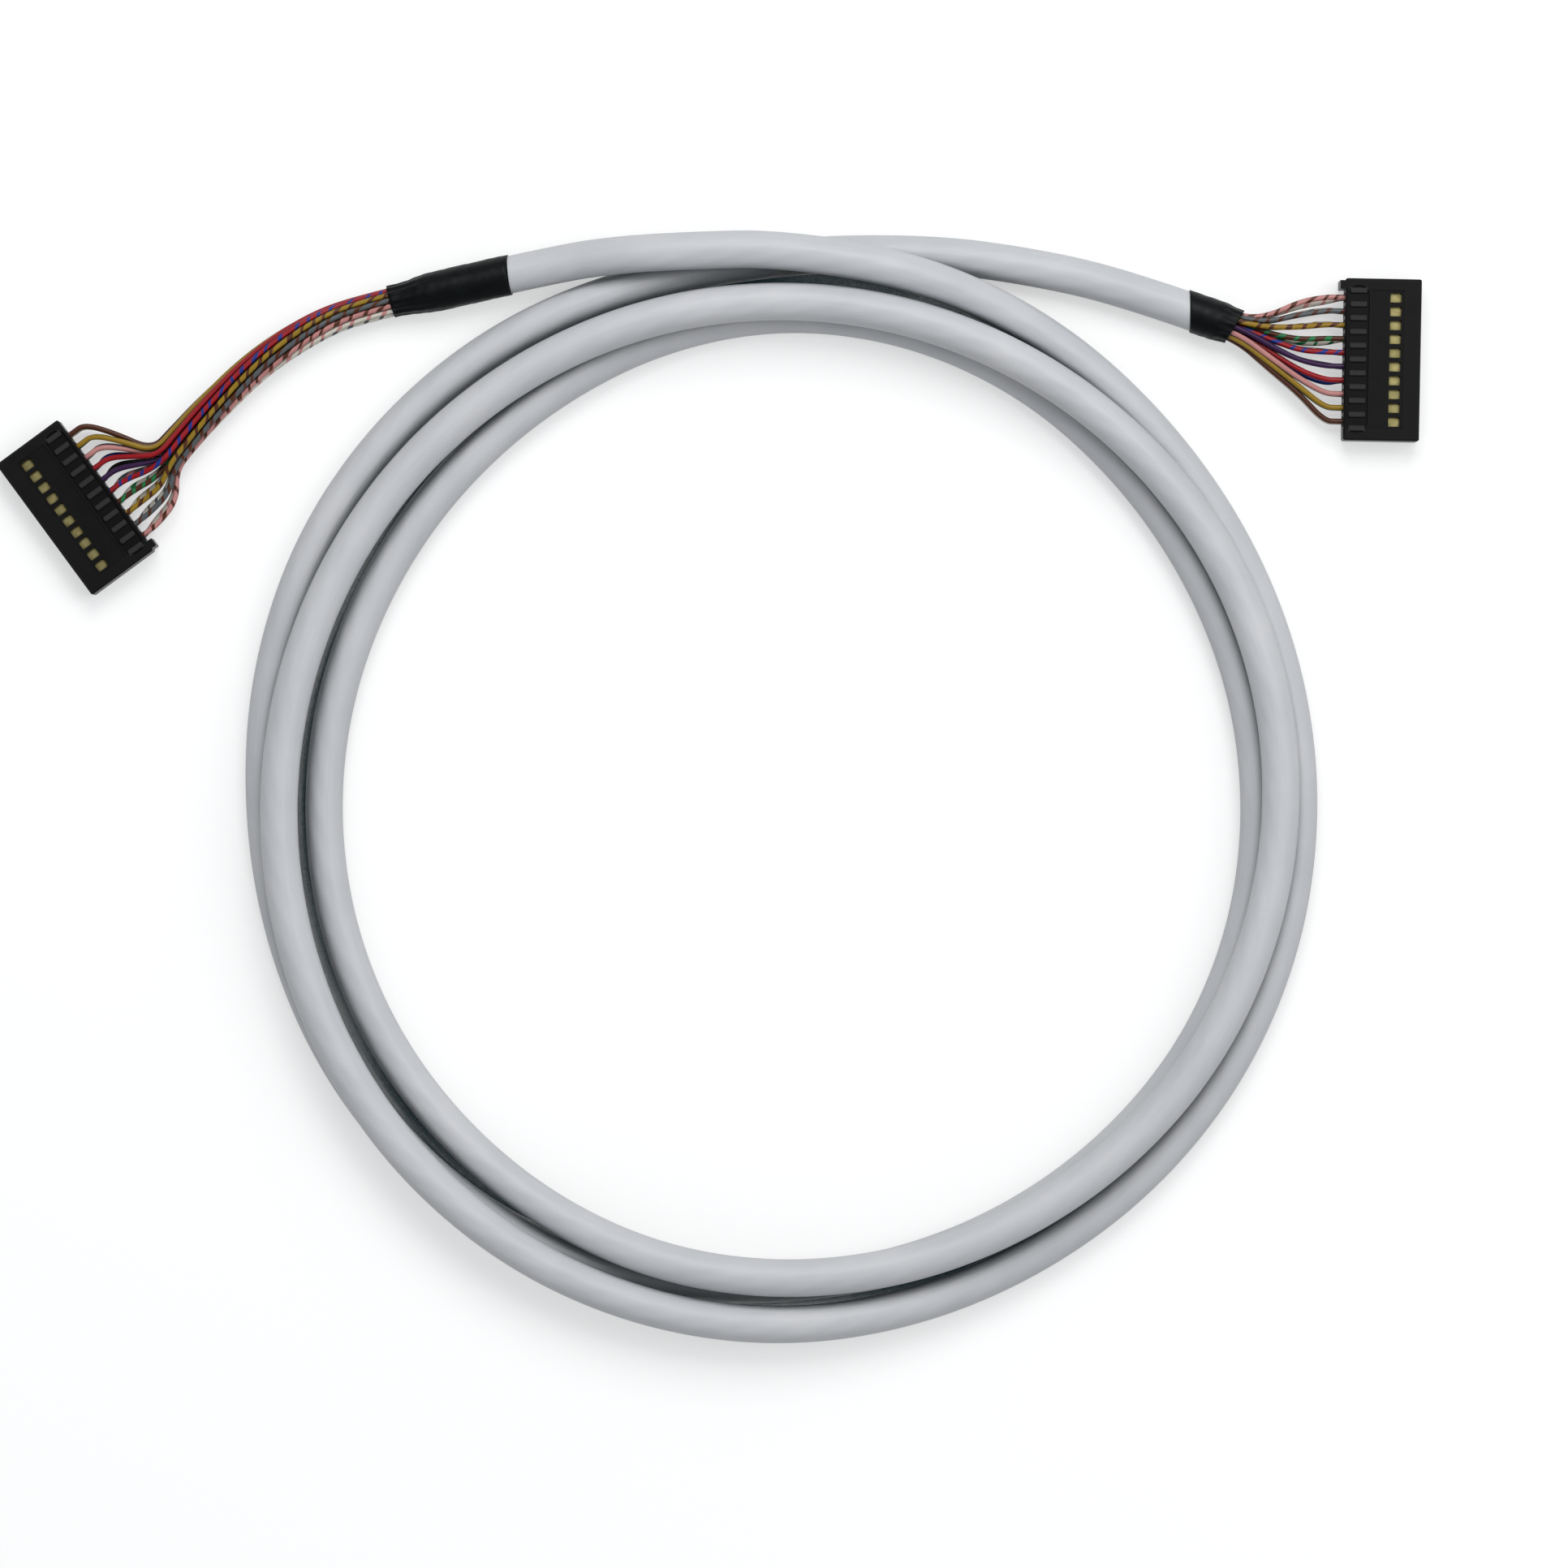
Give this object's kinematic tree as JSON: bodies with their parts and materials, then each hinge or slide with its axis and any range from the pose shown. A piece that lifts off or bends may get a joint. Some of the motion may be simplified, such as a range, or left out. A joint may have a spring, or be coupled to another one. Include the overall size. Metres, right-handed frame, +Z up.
{
  "type": "controller cable",
  "caption": "Round grey multi-core controller cable coiled in three loose turns, with sleeved jacket ends and colour-coded cores fanned into a two-row socket connector at each end.",
  "frame": {"origin": "on the surface that the cable lies on, in the middle of the box round the two connectors and the two sleeves", "axes": "+Z up from the surface; +X from the left connector towards the right one, which is the longer way across the connectors; +Y away from the coil"},
  "size_m": [0.2622, 0.2044, 0.0144],
  "materials": {
    "jacket_pvc": "extruded soft PVC, satin",
    "sleeve_polyolefin": "heat-shrunk polyolefin, satin",
    "housing_pbt": "moulded glass-filled PBT, matt",
    "contact_bronze": "gold-flashed phosphor bronze",
    "core_white": "extruded PVC insulation",
    "core_brown": "extruded PVC insulation",
    "core_green": "extruded PVC insulation",
    "core_yellow": "extruded PVC insulation",
    "core_grey": "extruded PVC insulation",
    "core_pink": "extruded PVC insulation",
    "core_blue": "extruded PVC insulation",
    "core_red": "extruded PVC insulation",
    "core_black": "extruded PVC insulation",
    "core_violet": "extruded PVC insulation",
    "core_grey_pink": "extruded PVC insulation, ring-marked pink",
    "core_red_blue": "extruded PVC insulation, ring-marked blue",
    "core_white_green": "extruded PVC insulation, ring-marked green",
    "core_brown_green": "extruded PVC insulation, ring-marked green",
    "core_white_yellow": "extruded PVC insulation, ring-marked yellow",
    "core_yellow_brown": "extruded PVC insulation, ring-marked brown",
    "core_white_grey": "extruded PVC insulation, ring-marked grey",
    "core_grey_brown": "extruded PVC insulation, ring-marked brown",
    "core_white_pink": "extruded PVC insulation, ring-marked pink",
    "core_pink_brown": "extruded PVC insulation, ring-marked brown"
  },
  "bodies": {
    "root": {"cable_tail_left": "jacket_pvc", "cable_coil": "jacket_pvc", "cable_tail_right": "jacket_pvc", "sleeve_left": "sleeve_polyolefin", "connector_housing_left": "housing_pbt", "contacts_upper_left": "contact_bronze", "contacts_lower_left": "contact_bronze", "sleeve_right": "sleeve_polyolefin", "connector_housing_right": "housing_pbt", "contacts_upper_right": "contact_bronze", "contacts_lower_right": "contact_bronze", "wire_left_01": "core_white", "wire_left_02": "core_brown", "wire_left_03": "core_green", "wire_left_04": "core_yellow", "wire_left_05": "core_grey", "wire_left_06": "core_pink", "wire_left_07": "core_blue", "wire_left_08": "core_red", "wire_left_09": "core_black", "wire_left_10": "core_violet", "wire_left_11": "core_grey_pink", "wire_left_12": "core_red_blue", "wire_left_13": "core_white_green", "wire_left_14": "core_brown_green", "wire_left_15": "core_white_yellow", "wire_left_16": "core_yellow_brown", "wire_left_17": "core_white_grey", "wire_left_18": "core_grey_brown", "wire_left_19": "core_white_pink", "wire_left_20": "core_pink_brown", "wire_right_01": "core_white", "wire_right_02": "core_brown", "wire_right_03": "core_green", "wire_right_04": "core_yellow", "wire_right_05": "core_grey", "wire_right_06": "core_pink", "wire_right_07": "core_blue", "wire_right_08": "core_red", "wire_right_09": "core_black", "wire_right_10": "core_violet", "wire_right_11": "core_grey_pink", "wire_right_12": "core_red_blue", "wire_right_13": "core_white_green", "wire_right_14": "core_brown_green", "wire_right_15": "core_white_yellow", "wire_right_16": "core_yellow_brown", "wire_right_17": "core_white_grey", "wire_right_18": "core_grey_brown", "wire_right_19": "core_white_pink", "wire_right_20": "core_pink_brown"}
  },
  "joints": []
}
